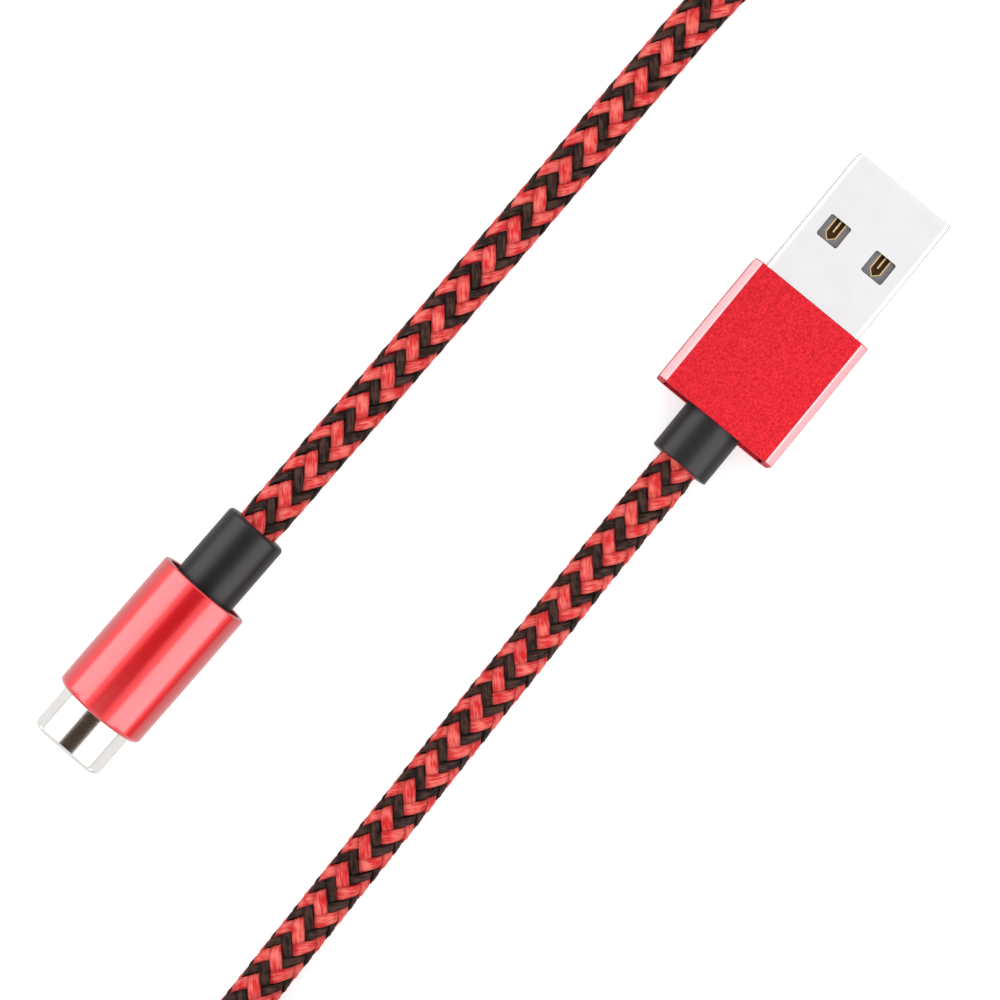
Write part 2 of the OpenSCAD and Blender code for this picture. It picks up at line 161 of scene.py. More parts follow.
# %% [markdown]
# A smooth curve through the points is sampled evenly, because the braid is wound by distance along the cord.
# A light smoothing then evens out the bends, as the cord's own stiffness does.

# %% Smooth centreline
STEP = 0.25
STIFF_REACH, STIFF_TIMES = 12, 3  # how far and how often the smoothing is done


def curve_through(points):
    """A Catmull-Rom curve through the points"""
    p = np.vstack([2 * points[0] - points[1], points, 2 * points[-1] - points[-2]])
    t = np.linspace(0, 1, 40, endpoint=False)[:, None]
    pieces = []
    for a, b, c, d in zip(p, p[1:], p[2:], p[3:]):
        pieces.append(0.5 * (2 * b + (c - a) * t + (2 * a - 5 * b + 4 * c - d) * t ** 2
                             + (3 * b - a - 3 * c + d) * t ** 3))
    return np.vstack([*pieces, p[-2:-1]])


def evenly(points, step):
    """The same line with its points a step apart"""
    gone = np.r_[0, np.cumsum(np.linalg.norm(np.diff(points, axis=0), axis=1))]
    at = np.linspace(0, gone[-1], int(round(gone[-1] / step)) + 1)
    return np.stack([np.interp(at, gone, points[:, k]) for k in range(3)], 1)


def smoothed(points, reach, times):
    """Each point moves to the mean of its neighbours within reach, and the two ends stay"""
    width = 2 * reach + 1
    for _ in range(times):
        first, last = points[0], points[-1]
        padded = np.vstack([2 * first - points[reach:0:-1], points, 2 * last - points[-2:-reach - 2:-1]])
        total = np.vstack([np.zeros(3), np.cumsum(padded, axis=0)])
        points = (total[width:] - total[:-width]) / width
    return points


route = np.vstack([ROUTE_A, coil_points(), ROUTE_C])
centreline = evenly(smoothed(evenly(curve_through(route), STEP), STIFF_REACH, STIFF_TIMES), STEP)
CORD_LENGTH = STEP * (len(centreline) - 1)
print("cord length in mm:", round(CORD_LENGTH, 1))

# %% [markdown]
# ## The braid
# The sleeve is a regular braid of sixteen flat strands. Eight turn one way and eight the other, red and
# black in turn, and each goes over two and under two. Where the floats of one direction meet those of the
# other they draw the chevrons, nearly 4 mm apart, in eight columns of arms round the cord. The strands are
# real geometry, because the scalloped outline and the shadow between the arms come from their shape.
# Every point of a strand is found on the cord's own cylinder: a distance along it and an angle round it.

# %% The cord's cylinder
LAY_A, LAY_C = 14.46, 15.88   # distance in which a strand goes once round, near each plug
STRANDS = 8           # in each direction
PITCH = 360 / STRANDS
MID_R = 2.05          # radius at the middle of the sleeve
SQUEEZE = 0.12        # how much less it is inside a collar
STRAND_T = 0.28       # thickness of a strand
HALF_WIDTHS = (0.74, 0.53)  # half the width of a red strand and of a black one
TWIST_A, TWIST_C = 16.0, 0.4  # how far the sleeve is twisted on the cord, in degrees
SHIFT_A, SHIFT_C = -0.03, -0.33  # how far the chevrons are moved along the cord
CHANGE_AFTER = 150    # the lay, twist and shift change gently, this far from both plugs
INSIDE_COLLAR = 1.0   # the sleeve runs on into each collar
STRAP_W, STRAP_TURN = 8.0, 200.0  # the strap's width, and where it stands round the coil
STRAP_PINCH = 0.22    # how much less the cord's radius is inside the strap

station = np.arange(len(centreline)) * STEP
ahead_at = np.gradient(centreline, axis=0)
ahead_at /= np.linalg.norm(ahead_at, axis=1)[:, None]
side_at = np.cross(ahead_at, [0, 0, 1.0])
side_at /= np.linalg.norm(side_at, axis=1)[:, None]
up_at = np.cross(side_at, ahead_at)


def between_plugs(s, at_a, at_c):
    """A quantity that has one value near the USB-A plug, another near the USB-C plug, and changes gently"""
    return at_a + (at_c - at_a) * ease(s, CHANGE_AFTER, CORD_LENGTH - CHANGE_AFTER)


def wound(s):
    """How far round the cord a strand has turned at distance s, in degrees"""
    return between_plugs(s, 360 * (s + SHIFT_A) / LAY_A, 360 * (s + SHIFT_C) / LAY_C)


def pinched():
    """How far the strap presses the cord at each point of the centreline, from 0 to 1"""
    turn = math.radians(STRAP_TURN)
    x, y = centreline[:, 0] - COIL_CENTRE.x, centreline[:, 1] - COIL_CENTRE.y
    out, beside = x * math.cos(turn) + y * math.sin(turn), y * math.cos(turn) - x * math.sin(turn)
    in_coil = (out > 0) & (out < COIL_OUTER_R + CORD_D)
    return in_coil * (1 - ease(np.abs(beside), STRAP_W / 2 - 0.6, STRAP_W / 2 + 0.8))


pinch_at = pinched()


def along(values, s):
    """A quantity at distances s along the cord, carried on straight past both ends"""
    return np.stack([np.interp(s, station, values[:, k]) for k in range(3)], -1)


def on_cord(s, angle, radius):
    """Points at distance s along the cord, angle (degrees from the top) round it and radius out"""
    turn = np.radians(angle)[..., None]
    out = np.cos(turn) * along(up_at, s) + np.sin(turn) * along(side_at, s)
    past = np.where(s < 0, s, np.where(s > station[-1], s - station[-1], 0))[..., None]
    return along(centreline, s) + past * along(ahead_at, s) + radius[..., None] * out


# %% One strand
# Places across a strand, from -1 to 1, and how high each stands on its crown. The three ridges are the
# yarns that lie side by side in it. The last entry is the underside.
ACROSS = np.array([-1, -0.72, -0.36, 0, 0.36, 0.72, 1, 0])
CROWN = np.array([-0.45, 0.34, 0.22, 0.5, 0.22, 0.34, -0.45, -0.5])
# EDGE: how much painted shade each place across a strand gets; the edges and the underside, where strands
# meet, get all of it
EDGE = np.array([1, 0.3, 0.05, 0, 0.05, 0.3, 1, 1])
SLOPE = math.atan2(2 * math.pi * MID_R, (LAY_A + LAY_C) / 2)
CROSSING = (0.62, 1.38)       # where a strand goes down between its float and the next, in columns
START_COLUMN = -1.25          # puts the middle of a column of arms on top of the cord
# How much a strand's width, place and height drift, and over what length
WIDTH_DRIFT, PLACE_DRIFT, HEIGHT_DRIFT = (0.05, 1.3), (0.03, 0.9), (0.12, 0.7)


def wander(s, size, wave, phase):
    """A slow irregular drift along a strand"""
    return size * (np.sin(s / wave + phase) + 0.6 * np.sin(s / wave * 0.43 + 2.3 * phase))[:, None]


def strand(number, way, half_w, first, last, step):
    """One strand between two distances along the cord: its points ring by ring, the ring's distances,
    and how much painted shade each point gets, from 0 to 1, where it dips under its neighbours and at its
    edges"""
    s = np.arange(first, last + step / 2, step)
    own = 2.4 * number + way
    offset = ACROSS * half_w * (1 + wander(s, *WIDTH_DRIFT, own)) + wander(s, *PLACE_DRIFT, own + 1)
    s_ring = s[:, None] - way * offset * math.sin(SLOPE)
    lattice = way * wound(s[:, None]) + number * PITCH + np.degrees(offset * math.cos(SLOPE) / MID_R)
    crossing = number + (lattice + way * wound(s_ring)) / PITCH
    # Places in fours from the middle of the float: 0 lies over two, 2 lies under two
    away = np.abs((crossing + (1.5 if way > 0 else 3.5)) % 4 - 2)
    height = 1 - 2 * ease(away, *CROSSING) + wander(s, *HEIGHT_DRIFT, own)
    free = ease(np.minimum(s_ring, CORD_LENGTH - s_ring), -0.3, 1.8)
    less = SQUEEZE * (1 - free) + STRAP_PINCH * np.interp(s_ring, station, pinch_at)
    radius = MID_R - less + height * STRAND_T / 2 + CROWN * STRAND_T
    # Painted shade: darkest at the strand's edges and where it dips under the strands that cross it
    painted_shade_amount = 1 - (1 - EDGE) * np.clip(0.5 + height, 0, 1) * (1 - 0.3 * ease(away, 0.25, 1))
    angle = lattice + START_COLUMN * PITCH + between_plugs(s_ring, TWIST_A, TWIST_C)
    return on_cord(s_ring, angle, radius), s, painted_shade_amount


print("strands:", 2 * STRANDS)

# %% [markdown]
# The cord is cut into four stretches, so that no mesh is too heavy, and each holds its sixteen strands. The
# rings are closer together near the plugs than in the coil. A strand's UV map is in millimetres, across it
# and along it, so that the yarn's threads can follow it. An attribute holds painted shade: it is highest
# where a point dips under the other strands and at a strand's edges, and there the yarn is painted darker.
# Below the sleeve runs the PVC jacket, a plain tube, and that is the piece that carries the cord's route.

# %% Stretches of braid
FINE_STEP, COIL_STEP = 0.25, 0.5
FINE_A, FINE_C = 120, 150     # how much of each run has fine rings
CAP = np.array([[7, 0, 1, 2], [7, 2, 3, 4], [7, 4, 5, 6]])  # three quads that close a strand's end


def new_mesh_object(name, points, faces):
    mesh = bpy.data.meshes.new(name)
    mesh.from_pydata(points.reshape(-1, 3).tolist(), [], faces)
    piece = bpy.data.objects.new(name, mesh)
    bpy.context.scene.collection.objects.link(piece)
    return piece


def tube_faces(rings, sides):
    """Quads between the rings of a tube, numbered ring by ring"""
    ring, side = np.meshgrid(np.arange(rings - 1), np.arange(sides), indexing="ij")
    here, after = ring * sides + side, ring * sides + (side + 1) % sides
    return np.stack([here, after, after + sides, here + sides], -1).reshape(-1, 4)


def add_braid(name, first, last, step):
    """One stretch: sixteen strands in one mesh, with their colours as two material places"""
    points, faces, tints, across, length, painted_shade_amounts = [], [], [], [], [], []
    count = 0
    sides = len(ACROSS)
    for way in (1, -1):
        for number in range(STRANDS):
            tint = (number + (way < 0)) % 2
            p, s, painted_shade_amount = strand(number, way, HALF_WIDTHS[tint], first, last, step)
            rings = len(s)
            quads = np.vstack([tube_faces(rings, sides), CAP[:, ::-1], CAP + (rings - 1) * sides]) + count
            faces.append(quads)
            tints.append(np.full(len(quads), tint))
            points.append(p.reshape(-1, 3))
            painted_shade_amounts.append(painted_shade_amount.ravel())
            across.append(np.tile(ACROSS * HALF_WIDTHS[tint], rings) + 3 * (number + STRANDS * (way < 0)))
            length.append(np.repeat(s, sides) * math.hypot(1, math.tan(SLOPE)))
            count += rings * sides
    points, faces, tints = np.vstack(points) * MM, np.vstack(faces), np.concatenate(tints)
    piece = new_mesh_object(name, points, faces.tolist())
    mesh = piece.data
    uv = mesh.uv_layers.new(name="thread").data
    corner = faces.ravel()
    flat = np.stack([np.concatenate(across)[corner], np.concatenate(length)[corner]], 1)
    uv.foreach_set("uv", flat.ravel())
    # The painted shade goes to the yarn as a point attribute
    tuck_shade = mesh.attributes.new("tuck_shade", "FLOAT", "POINT")
    tuck_shade.data.foreach_set("value", np.concatenate(painted_shade_amounts).astype(np.float32))
    mesh.polygons.foreach_set("material_index", tints.astype(np.int32))
    mesh.polygons.foreach_set("use_smooth", np.ones(len(faces), bool))
    return piece


whole = COIL_STEP * round(CORD_LENGTH / COIL_STEP)
half_way = COIL_STEP * round((FINE_A + whole - FINE_C) / 2 / COIL_STEP)
ends = [-INSIDE_COLLAR, FINE_A, half_way, whole - FINE_C, whole + INSIDE_COLLAR]
steps = [FINE_STEP, COIL_STEP, COIL_STEP, FINE_STEP]
braids = [add_braid(f"cord_braid_{k + 1}", ends[k], ends[k + 1], steps[k]) for k in range(4)]
print("braid faces:", sum(len(b.data.polygons) for b in braids))


# %% The jacket below it
JACKET_R = 1.74
JACKET_SIDES = 16
JACKET_STEP = 1.5


def add_jacket():
    """A tube along the whole route; its own rings are the cord's path"""
    rings = evenly(centreline, JACKET_STEP)
    s = np.linspace(0, CORD_LENGTH, len(rings))
    s, angle = np.meshgrid(s, np.arange(JACKET_SIDES) * 360 / JACKET_SIDES, indexing="ij")
    points = on_cord(s, angle, np.full(s.shape, JACKET_R))
    quads = tube_faces(len(rings), JACKET_SIDES)
    last = (len(rings) - 1) * JACKET_SIDES
    caps = [list(range(JACKET_SIDES - 1, -1, -1)), [last + k for k in range(JACKET_SIDES)]]
    piece = new_mesh_object("cord_jacket", points * MM, quads.tolist() + caps)
    piece.data.polygons.foreach_set("use_smooth", np.ones(len(piece.data.polygons), bool))
    return piece, (points.mean(1) * MM).tolist()


jacket, cord_path = add_jacket()

# %% [markdown]
# ## Modelling helpers
# The hard pieces start as a primitive at its size and place. In edit mode, edges and faces are picked by
# their place and bevelled, inset, bridged or extruded. Operators act on whatever is selected, so a piece is
# first selected alone.

# %% Helpers for modelling
SMOOTH_ANGLE = 30     # sharper edges than this, in degrees, stay sharp


def begin():
    bpy.ops.object.select_all(action="DESELECT")


def take(piece):
    """Select this piece alone"""
    begin()
    bpy.context.view_layer.objects.active = piece
    piece.select_set(True)


def add_box(name, low, high):
    """A box from one corner to the other"""
    begin()
    low, high = Vector(low), Vector(high)
    bpy.ops.mesh.primitive_cube_add(size=1, location=(low + high) / 2, scale=high - low)
    bpy.ops.object.transform_apply(location=True, rotation=True, scale=True)
    bpy.context.object.name = name
    return bpy.context.object


def add_bar(name, radius, start, end, sides=128):
    """A round bar along Y"""
    begin()
    bpy.ops.mesh.primitive_cylinder_add(vertices=sides, radius=radius, depth=end - start,
                                        location=(0, (start + end) / 2, 0), rotation=(math.pi / 2, 0, 0))
    bpy.ops.object.transform_apply(location=True, rotation=True, scale=True)
    bpy.context.object.name = name
    return bpy.context.object


def edit(piece):
    take(piece)
    bpy.ops.object.mode_set(mode="EDIT")


def done():
    bpy.ops.object.mode_set(mode="OBJECT")


def pick(kind, test):
    """In edit mode, select just the verts, edges or faces that pass the test"""
    bpy.ops.mesh.select_mode(type=kind)
    bpy.ops.mesh.select_all(action="DESELECT")
    mesh = bpy.context.object.data
    shape = bmesh.from_edit_mesh(mesh)
    shape.normal_update()
    items = {"VERT": shape.verts, "EDGE": shape.edges, "FACE": shape.faces}[kind]
    chosen = [item for item in items if test(item)]
    for item in chosen:
        item.select_set(True)
    bmesh.update_edit_mesh(mesh)
    return len(chosen)


def at_y(item, y, near=0.001):
    """All of the item's corners lie in the plane across the plug at y"""
    corners = [item] if isinstance(item, bmesh.types.BMVert) else item.verts
    return all(abs(v.co.y - y) < near for v in corners)


def runs_along_y(edge):
    a, b = (v.co for v in edge.verts)
    return abs(a.x - b.x) < 0.001 and abs(a.z - b.z) < 0.001


def upright(edge):
    return abs(edge.verts[0].co.z - edge.verts[1].co.z) > 0.1


def rim(y, radius):
    """A test for the edges of a round rim"""
    return lambda e: at_y(e, y) and all(abs(math.hypot(v.co.x, v.co.z) - radius) < 0.01 for v in e.verts)


def bevel(piece, test, size, segments=1):
    """Bevel the edges that pass the test"""
    edit(piece)
    pick("EDGE", test)
    bpy.ops.mesh.bevel(offset=size, segments=segments, affect="EDGES")
    done()


def open_through(piece, wall):
    """Turn a solid bar along Y into a tube with this wall"""
    ys = [v.co.y for v in piece.data.vertices]
    front, rear = max(ys), min(ys)
    edit(piece)
    pick("FACE", lambda f: at_y(f, front) or at_y(f, rear))
    bpy.ops.mesh.inset(thickness=wall)
    bpy.ops.mesh.delete(type="FACE")
    pick("EDGE", lambda e: e.is_boundary)
    bpy.ops.mesh.bridge_edge_loops()
    done()


def use_modifier(piece, kind, **settings):
    """Add a modifier and apply it"""
    take(piece)
    modifier = piece.modifiers.new(kind.title(), kind)
    for name, value in settings.items():
        setattr(modifier, name, value)
    bpy.ops.object.modifier_apply(modifier=modifier.name)


def soften(piece, width, segments=2, angle=35):
    """Round every sharp edge a little, as moulding, folding or tumbling does"""
    use_modifier(piece, "BEVEL", width=width, segments=segments, limit_method="ANGLE",
                 angle_limit=math.radians(angle), harden_normals=False)


def cut(piece, cutter, how="DIFFERENCE"):
    """Cut the cutter out of the piece, or join it on"""
    use_modifier(piece, "BOOLEAN", operation=how, solver="EXACT", object=cutter)
    bpy.data.objects.remove(cutter)


def join(name, pieces):
    """Make one object of several"""
    begin()
    for piece in pieces:
        piece.select_set(True)
    bpy.context.view_layer.objects.active = pieces[0]
    bpy.ops.object.join()
    pieces[0].name = name
    return pieces[0]


def set_in_place(piece, place):
    """Clean and shade the piece, then move it from its plug's frame to the row frame, in its mesh"""
    edit(piece)
    bpy.ops.mesh.select_all(action="SELECT")
    bpy.ops.mesh.dissolve_degenerate(threshold=0.0001)
    done()
    bpy.ops.object.shade_smooth_by_angle(angle=math.radians(SMOOTH_ANGLE))
    use_modifier(piece, "WEIGHTED_NORMAL", keep_sharp=True)
    piece.matrix_world = place
    bpy.ops.object.transform_apply(location=True, rotation=True, scale=True)
    return piece


# %% [markdown]
# ## USB-A housing
# The housing is a drawn aluminium tube, bead-blasted and dyed red, and then its four long edges are cut with
# a diamond tool, which leaves narrow bright bands. It is a box with bevelled long edges, opened into a tube.
# The bright bands are faces of their own, so they can take a material of their own.

# %% Housing
HOUSING_CUT = 0.8
HOUSING_WALL = 0.9


def add_housing():
    low, high = span("usb_a_housing", USB_A)
    piece = add_box("plug_a_housing", low, high)
    bevel(piece, runs_along_y, HOUSING_CUT)
    open_through(piece, HOUSING_WALL)
    soften(piece, 0.1, 3)
    near_x, near_z = high.x - HOUSING_CUT - 0.15, high.z - HOUSING_CUT - 0.15
    for face in piece.data.polygons:
        slanted = abs(face.normal.x) > 0.1 and abs(face.normal.z) > 0.1 and abs(face.normal.y) < 0.1
        outside = abs(face.center.x) > near_x and abs(face.center.z) > near_z
        face.material_index = int(slanted and outside)
    return set_in_place(piece, USB_A)


housing = add_housing()
print("housing faces:", len(housing.data.polygons))

# %% [markdown]
# ## USB-A shell
# The shell is folded from 0.3 mm nickel-plated steel: a box with round long edges, two latch windows above
# and two below, and a seam along the underside where the sheet's two edges lock together. Its mouth is drawn
# in a little, so that it finds its way into a socket. The windows and the seam are cut with boolean cutters.

# %% Shell
SHEET = 0.3
FOLD_R = 0.6
WINDOW, WINDOW_GAP, WINDOW_BACK, WINDOW_R = 2.6, 5.8, 6.6, 0.25
SEAM = 0.07
MOUTH, MOUTH_SCALE = 0.7, (0.985, 1, 0.96)


def window_cutter(x):
    y = -WINDOW_BACK
    cutter = add_box("cutter", (x - WINDOW / 2, y - WINDOW, -5), (x + WINDOW / 2, y, 5))
    bevel(cutter, upright, WINDOW_R, 5)
    return cutter


def seam_cutters(low):
    """Straight slits and the square lock in the middle of them"""
    step, lock = 0.7, (-13.5, -11.5)
    half = SEAM / 2
    deep = (low.z - 1, low.z + SHEET + 0.2)
    runs = [((-half, lock[1]), (half, 1)), ((step - half, lock[0]), (step + half, lock[1])),
            ((-half, low.y - 1), (half, lock[0]))]
    runs += [((-half, y - half), (step + half, y + half)) for y in lock]
    return [add_box("cutter", (*a, deep[0]), (*b, deep[1])) for a, b in runs]


def add_shell():
    low, high = span("usb_a_shell", USB_A)
    piece = add_box("plug_a_shell", low, high)
    bevel(piece, runs_along_y, FOLD_R, 8)
    edit(piece)
    pick("FACE", lambda f: at_y(f, high.y) or at_y(f, low.y))
    bpy.ops.mesh.delete(type="FACE")
    bpy.ops.mesh.select_all(action="SELECT")
    bpy.ops.mesh.bisect(plane_co=(0, high.y - MOUTH, 0), plane_no=(0, 1, 0))
    pick("VERT", lambda v: at_y(v, high.y))
    bpy.ops.transform.resize(value=MOUTH_SCALE)
    done()
    use_modifier(piece, "SOLIDIFY", thickness=SHEET, offset=-1)
    for x in (-WINDOW_GAP / 2, WINDOW_GAP / 2):
        cut(piece, window_cutter(x))
    for cutter in seam_cutters(low):
        cut(piece, cutter)
    soften(piece, 0.05, 2, 50)
    return set_in_place(piece, USB_A)


shell = add_shell()
print("shell faces:", len(shell.data.polygons))

# %% [markdown]
# ## USB-A contacts
# Each contact is stamped from gold-plated strip: a flat blade on the tongue's lower face and, in the pocket
# above it, a trough with a pointed end and a ridge along its middle. The ends of the outer two show through
# the latch windows. The trough is a box whose rear corners are bevelled to a point and whose top is inset
# and pushed down. Its rim and ridge are gold; the floor and inner walls of the trough are painted dark brown
# as shade.

# %% Contacts
CONTACT_XS = (-WINDOW_GAP / 2, -0.95, 0.95, WINDOW_GAP / 2)
POCKET_W, POCKET_END, POCKET_FRONT = 1.38, -9.0, -2.0
TONGUE_TOP, POCKET_FLOOR = 1.65, 0.47
TROUGH_WALL, TROUGH_DEPTH = 0.14, 1.0
RIDGE_HALF_W, RIDGE_BACK, RIDGE_BELOW = 0.09, 1.05, 0.25
BLADE_HALF_W, BLADE_T = 0.5, 0.25
POINT = 0.46          # how much of its width each rear corner of a contact loses


def pointed_box(low, high, name):
    """A box whose rear end comes to a point in plan"""
    piece = add_box(name, low, high)
    bevel(piece, lambda e: at_y(e, low[1]) and upright(e), (high[0] - low[0]) * POINT)
    return piece


def add_contact(x):
    half, top = POCKET_W / 2, TONGUE_TOP - 0.05
    trough = pointed_box((x - half, POCKET_END, POCKET_FLOOR), (x + half, POCKET_FRONT, top), "trough")
    edit(trough)
    pick("FACE", lambda f: f.normal.z > 0.9)
    bpy.ops.mesh.inset(thickness=TROUGH_WALL)
    bpy.ops.mesh.extrude_region_move(TRANSFORM_OT_translate={"value": (0, 0, -TROUGH_DEPTH)})
    done()
    soften(trough, 0.02)
    ridge = pointed_box((x - RIDGE_HALF_W, POCKET_END + RIDGE_BACK, POCKET_FLOOR),
                        (x + RIDGE_HALF_W, POCKET_FRONT, TONGUE_TOP - RIDGE_BELOW), "ridge")
    soften(ridge, 0.05)
    low, high = span("usb_a_contacts", USB_A)
    blade = add_box("blade", (x - BLADE_HALF_W, low.y, low.z), (x + BLADE_HALF_W, high.y, low.z + BLADE_T))
    soften(blade, 0.06)
    return [trough, ridge, blade]


def inside_trough(face):
    """The faces of a trough's floor and of the inner side of its walls, which take the painted shade"""
    off = min(abs(face.center.x - x) for x in CONTACT_XS)
    at_floor = face.normal.z > 0.9 and POCKET_FLOOR < face.center.z < TONGUE_TOP - 0.5
    at_side = abs(face.normal.x) > 0.9 and 2 * RIDGE_HALF_W < off < (POCKET_W - TROUGH_WALL) / 2
    at_point = face.normal.y > 0.1 and face.center.y < POCKET_FRONT - 1
    return at_floor or at_side or at_point


def add_contacts():
    piece = join("plug_a_contacts", [part for x in CONTACT_XS for part in add_contact(x)])
    # Painted shade: the inside of each trough takes the dark brown second material
    for face in piece.data.polygons:
        face.material_index = int(inside_trough(face))
    return set_in_place(piece, USB_A)


contacts = add_contacts()
print("contacts faces:", len(contacts.data.polygons))

# %% [markdown]
# ## Strain relief collars
# Each collar is moulded from matt black rubber in one piece with a flange that sits inside the metal housing,
# a millimetre in from its rear edge. It is a bar joined to a flange. The mouth where the cord comes out is an
# inset face pushed inwards, and the outer edge is rounded.

# %% Collars
MOUTH_R = CORD_D / 2 + 0.05
MOUTH_DEPTH = 2.0
COLLAR_R_A, COLLAR_R_C = 3.35, 3.45
FLANGE_T_A, FLANGE_HALF_H_A = 1.68, 2.78
FLANGE_T_C = 1.58


def add_collar(name, node_name, place, radius, flange, edge_r):
    """A bar of this radius with a mouth for the cord, and a flange joined on"""
    low, high = span(node_name, place)
    piece = add_bar(name, radius, low.y, high.y - 0.3)
    edit(piece)
    pick("FACE", lambda f: at_y(f, low.y))
    bpy.ops.mesh.inset(thickness=radius - MOUTH_R)
    bpy.ops.mesh.extrude_region_move(TRANSFORM_OT_translate={"value": (0, MOUTH_DEPTH, 0)})
    done()
    bevel(piece, rim(low.y, radius), edge_r, 5)
    bevel(piece, rim(low.y, MOUTH_R), 0.1, 3)
    cut(piece, flange, "UNION")
    return set_in_place(piece, place)


def box_flange():
    low, high = span("usb_a_strain_relief", USB_A)
    half = FLANGE_HALF_H_A
    flange = add_box("flange", (low.x, high.y - FLANGE_T_A, -half), (high.x, high.y, half))
    soften(flange, 0.2, 3)
    return flange


def round_flange():
    low, high = span("usb_c_strain_relief", USB_C)
    flange = add_bar("flange", high.x, high.y - FLANGE_T_C, high.y)
    soften(flange, 0.15, 3)
    return flange


collar_a = add_collar("plug_a_collar", "usb_a_strain_relief", USB_A, COLLAR_R_A, box_flange(), 0.18)
collar_c = add_collar("plug_c_collar", "usb_c_strain_relief", USB_C, COLLAR_R_C, round_flange(), 0.45)

# %% [markdown]
# ## USB-C barrel and nose
# The barrel is turned from aluminium bar, dyed red, with a round front edge and a small radius behind. It is
# a bar opened into a tube, with each rim bevelled by its own amount.

# %% Barrel
BARREL_WALL = 0.7
FRONT_R, REAR_R, INNER_EDGE = 0.5, 0.22, 0.12


def add_barrel():
    low, high = span("usb_c_barrel", USB_C)
    radius = high.x
    piece = add_bar("plug_c_barrel", radius, low.y, high.y, 160)
    open_through(piece, BARREL_WALL)
    bore = radius - BARREL_WALL
    for y, r, size, steps in ((high.y, radius, FRONT_R, 6), (low.y, radius, REAR_R, 4),
                              (high.y, bore, INNER_EDGE, 2), (low.y, bore, INNER_EDGE, 2)):
        bevel(piece, rim(y, r), size, steps)
    return set_in_place(piece, USB_C)


barrel = add_barrel()

# %% [markdown]
# The nose is deep-drawn steel, polished and nickel plated: a slot shape with full round ends. A box with its
# four long edges bevelled by half its thickness gives that outline exactly. The lip is drawn in by rings of
# cuts, each scaled to its place on a quarter circle: a large one across the nose, a small one through it.

# %% Nose
NOSE_WALL = 0.28
LIP_R_ACROSS, LIP_R_THROUGH = 0.7, 0.22
LIP_CUTS = (0.7, 0.45, 0.3, 0.18, 0.09, 0.03, 0)


def drawn_in(radius, back):
    """How far a quarter circle has come in at a distance behind the lip"""
    rest = max(radius - back, 0)
    return radius - math.sqrt(radius ** 2 - rest ** 2)


def add_nose():
    low, high = span("usb_c_nose", USB_C)
    piece = add_box("plug_c_nose", low, high)
    bevel(piece, runs_along_y, high.z - 0.001, 20)
    open_through(piece, NOSE_WALL)
    edit(piece)
    for back in LIP_CUTS:
        if back:
            bpy.ops.mesh.select_all(action="SELECT")
            bpy.ops.mesh.bisect(plane_co=(0, high.y - back, 0), plane_no=(0, 1, 0))
        pick("VERT", lambda v: at_y(v, high.y - back))
        bpy.ops.transform.resize(value=(1 - drawn_in(LIP_R_ACROSS, back) / high.x, 1,
                                        1 - drawn_in(LIP_R_THROUGH, back) / high.z))
    done()
    return set_in_place(piece, USB_C)


nose = add_nose()
print("nose faces:", len(nose.data.polygons))

# %% [markdown]
# Behind the nose is a small circuit board with the pull-up resistor that a USB-C plug needs. The two are one
# piece, so that they stay together when the cord moves.

# %% Circuit board
def add_board():
    parts = []
    for node_name, edge in (("usb_c_board", 0.05), ("usb_c_resistor", 0.04)):
        parts.append(add_box(node_name + "_shape", *span(node_name, USB_C)))
        soften(parts[-1], edge)
    top = span("usb_c_board", USB_C)[1].z
    board = join("plug_c_board", parts)
    for face in board.data.polygons:
        face.material_index = int(face.center.z > top + 0.001)
    return set_in_place(board, USB_C)


board = add_board()

# %% [markdown]
# ## The strap
# A coil put away for storage is held by a short strap of woven nylon with a tail that lies over its own end.
# The band is a box with round long edges, opened into a loop, and the tail is a thin box with round corners.

# %% Strap
STRAP_T, STRAP_R = 0.75, 2.2
TAIL_T, TAIL_IN, TAIL_R = 0.55, 2.4, 1.4


def add_strap():
    turn = math.radians(STRAP_TURN)
    middle_r = (COIL_OUTER_R + COIL_INNER_R) / 2
    half_w, top = CORD_D + 0.1 + STRAP_T, coil_high.z / MM
    band = add_box("strap", (-half_w, -STRAP_W / 2, 0), (half_w, STRAP_W / 2, top))
    bevel(band, runs_along_y, STRAP_R, 8)
    open_through(band, STRAP_T)
    soften(band, 0.12, 2, 50)
    tail = add_box("tail", (-half_w + TAIL_IN, -STRAP_W / 2, top - 0.12),
                   (half_w - TAIL_IN, STRAP_W / 2, top + TAIL_T))
    bevel(tail, lambda e: upright(e) and e.verts[0].co.x > 0, TAIL_R, 5)
    soften(tail, 0.12, 2, 50)
    strap = join("cord_strap", [band, tail])
    at_coil = Matrix.Translation(Vector((COIL_CENTRE.x, COIL_CENTRE.y, 0)) * MM)
    place = (at_coil @ Matrix.Rotation(turn, 4, "Z") @ Matrix.Translation((middle_r * MM, 0, 0))
             @ Matrix.Scale(MM, 4))
    return set_in_place(strap, place)


strap = add_strap()

# %% [markdown]
# ## Material helpers
# Colours are written as sRGB hex values, as on a colour chart, and one function makes them linear. Nearly
# every finish here has a fine grain from how it was made, so one function builds that: a noise whose grain
# size is in millimetres varies the colour between two tints and raises the surface.

# %% Colours, nodes and grained finishes
def colour(code):
    """Linear colour from a hex code"""
    parts = [int(code[k:k + 2], 16) / 255 for k in (1, 3, 5)]
    return [c / 12.92 if c <= 0.04045 else ((c + 0.055) / 1.055) ** 2.4 for c in parts] + [1]


def add_node(tree, kind, links=None, **settings):
    """Add a node; settings are its properties, links are values or outputs for its inputs"""
    made = tree.nodes.new("ShaderNode" + kind)
    for name, value in settings.items():
        setattr(made, name, value)
    for name, value in (links or {}).items():
        if isinstance(value, bpy.types.NodeSocket):
            tree.links.new(value, made.inputs[name])
        else:
            made.inputs[name].default_value = value
    return made


